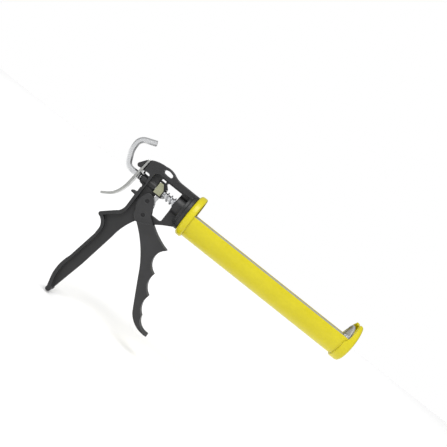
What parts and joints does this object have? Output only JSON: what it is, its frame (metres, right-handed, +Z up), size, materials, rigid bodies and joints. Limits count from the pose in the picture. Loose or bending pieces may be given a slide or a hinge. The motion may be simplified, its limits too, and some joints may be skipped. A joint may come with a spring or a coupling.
{
  "type": "caulking gun",
  "caption": "Hand-squeezed caulking gun: a swivelling open half-pipe cradle with a notched front cap, a hooked hexagonal push rod with a disc, trigger and thumb release.",
  "frame": {"origin": "on the push rod's axis, in the plane of the frame's front flange, where the barrel is carried", "axes": "+X along the barrel towards the nozzle, +Z up in use, Y across"},
  "size_m": [0.3532, 0.0558, 0.2228],
  "materials": {
    "black_powder_coat": "satin black powder coat on die-cast aluminium",
    "trigger_powder_coat": "satin black powder coat on die-cast aluminium",
    "yellow_enamel": "glossy yellow enamel on pressed sheet steel",
    "zinc_rod": "bright zinc-plated drawn hexagonal steel bar",
    "zinc_plate": "bright zinc-plated steel plate",
    "zinc_steel": "zinc-plated steel",
    "galvanised_disc": "galvanised pressed steel",
    "olive_passivated_zinc": "zinc plate with an olive-yellow passivation",
    "spring_steel": "plain spring steel wire",
    "dark_steel": "black oxide steel"
  },
  "bodies": {
    "frame": {"frame_casting": "black_powder_coat", "swivel_sleeve": "dark_steel", "wave_washer": "spring_steel", "swivel_washer": "zinc_steel", "retaining_ring": "dark_steel", "trigger_pivot_pin": "dark_steel", "pivot_washers": "dark_steel", "return_spring": "spring_steel", "release_spring": "dark_steel"},
    "trigger": {"trigger_casting": "trigger_powder_coat", "drive_pin": "dark_steel"},
    "roller": {"drive_roller": "zinc_steel"},
    "drive": {"drive_block": "olive_passivated_zinc", "drive_yoke": "dark_steel", "grip_plates": "zinc_steel", "drive_link": "zinc_steel", "spring_seat": "zinc_steel"},
    "rod": {"push_rod": "zinc_rod", "pusher_disc": "galvanised_disc", "disc_washer": "zinc_steel", "disc_nuts": "zinc_steel"},
    "release": {"release_plate": "zinc_plate"},
    "barrel": {"rear_collar": "yellow_enamel", "cradle_trough": "yellow_enamel", "front_cap": "yellow_enamel"}
  },
  "joints": [
    {"name": "trigger_pivot", "type": "hinge", "parent": "frame", "child": "trigger", "pos_m": [-0.0408, 0, -0.0342], "axis": [0, 1, 0], "range_deg": [0, 35], "stiffness_Nm_per_rad": 0.6, "springref_deg": -34.38},
    {"name": "roller_spin", "type": "hinge", "parent": "trigger", "child": "roller", "pos_m": [-0.0468, 0, -0.018], "axis": [0, 1, 0], "continuous": true},
    {"name": "drive_slide", "type": "slide", "parent": "frame", "child": "drive", "axis": [1, 0, 0], "range_m": [0, 0.0108], "deforming": ["return_spring"]},
    {"name": "rod_slide", "type": "slide", "parent": "frame", "child": "rod", "axis": [1, 0, 0], "range_m": [-0.228, 0.003]},
    {"name": "release_tilt", "type": "hinge", "parent": "frame", "child": "release", "pos_m": [-0.0746, 0, 0.0222], "axis": [0, -1, 0], "range_deg": [0, 7], "stiffness_Nm_per_rad": 0.15, "springref_deg": -17.19, "deforming": ["release_spring"]},
    {"name": "barrel_swivel", "type": "hinge", "parent": "frame", "child": "barrel", "pos_m": [0.003, 0, 0], "axis": [1, 0, 0], "continuous": true}
  ],
  "couplings": [
    {"joint": "drive_slide", "follows": "trigger_pivot", "m_per_rad": 0.017}
  ]
}
